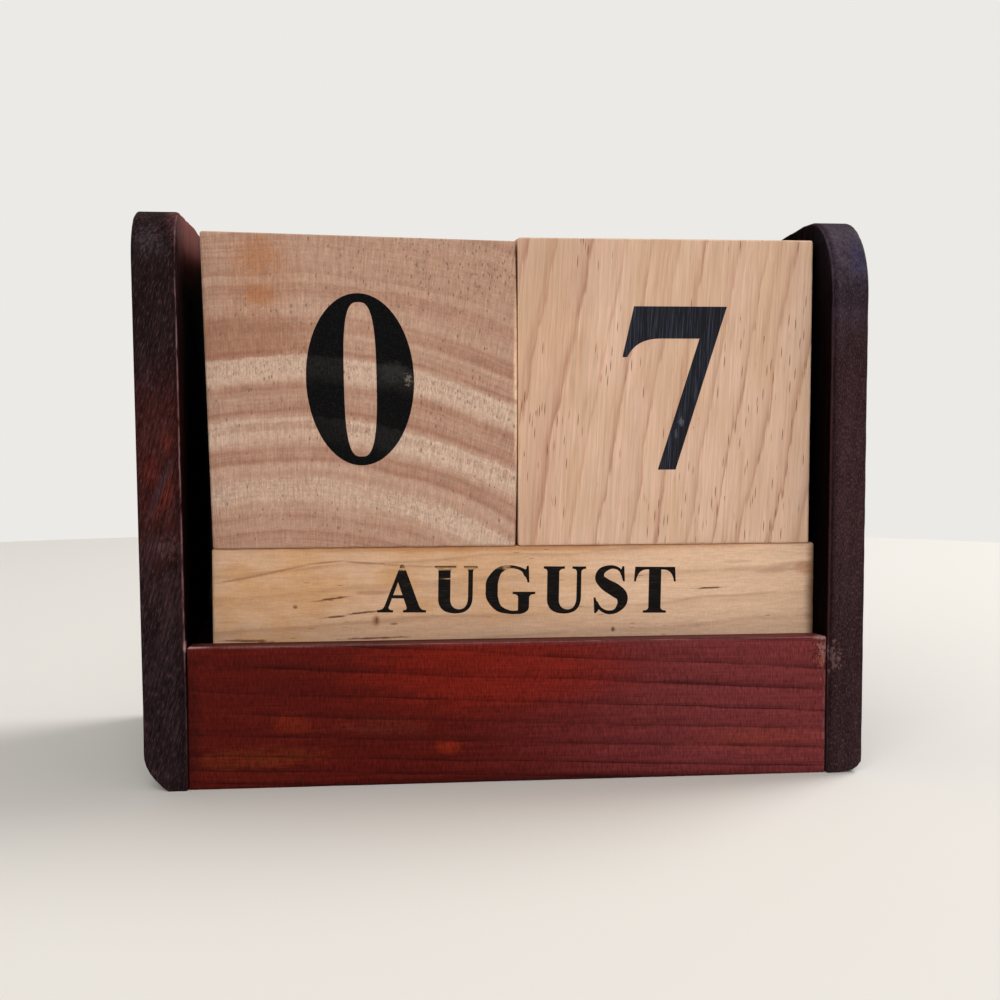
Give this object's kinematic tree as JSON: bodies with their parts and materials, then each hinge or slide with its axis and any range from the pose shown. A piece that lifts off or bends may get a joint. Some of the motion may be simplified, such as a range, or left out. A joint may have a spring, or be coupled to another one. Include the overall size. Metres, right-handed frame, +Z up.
{
  "type": "wooden cube calendar",
  "caption": "Desk calendar of loose wooden day cubes standing on month bars in a stained tray with tall side panels, changed by hand.",
  "frame": {"origin": "centre of the stand's footprint, on the surface that it stands on", "axes": "+Z up, -Y towards the reader, +X to the reader's right"},
  "size_m": [0.1164, 0.064, 0.0914],
  "materials": {
    "panel_wood": "dark purple-brown stain, satin",
    "rail_wood": "dark red stain, satin",
    "dowel_wood": "bare hardwood",
    "bar_wood": "clear satin, black printing",
    "left_cube_wood": "clear satin on end grain, black printing",
    "right_cube_wood": "clear satin on long grain, black printing"
  },
  "bodies": {
    "stand": {"left_side_panel": "panel_wood", "right_side_panel": "panel_wood", "front_rail": "rail_wood", "back_rail": "rail_wood", "floor_board": "rail_wood", "front_rail_dowels": "dowel_wood", "back_rail_dowels": "dowel_wood"},
    "back_bar": {"month_bar_back": "bar_wood"},
    "middle_bar": {"month_bar_middle": "bar_wood"},
    "front_bar": {"month_bar_front": "bar_wood"},
    "left_cube": {"left_day_cube": "left_cube_wood"},
    "right_cube": {"right_day_cube": "right_cube_wood"}
  },
  "joints": [
    {"name": "back_bar_lift", "type": "slide", "parent": "stand", "child": "back_bar", "axis": [0, 0, 1], "range_m": [0, 0.075]},
    {"name": "middle_bar_lift", "type": "slide", "parent": "back_bar", "child": "middle_bar", "axis": [0, 0, 1], "range_m": [0, 0.075]},
    {"name": "front_bar_lift", "type": "slide", "parent": "middle_bar", "child": "front_bar", "axis": [0, 0, 1], "range_m": [0, 0.075]},
    {"name": "left_cube_lift", "type": "slide", "parent": "front_bar", "child": "left_cube", "axis": [0, 0, 1], "range_m": [0, 0.06]},
    {"name": "right_cube_lift", "type": "slide", "parent": "front_bar", "child": "right_cube", "axis": [0, 0, 1], "range_m": [0, 0.06]}
  ]
}
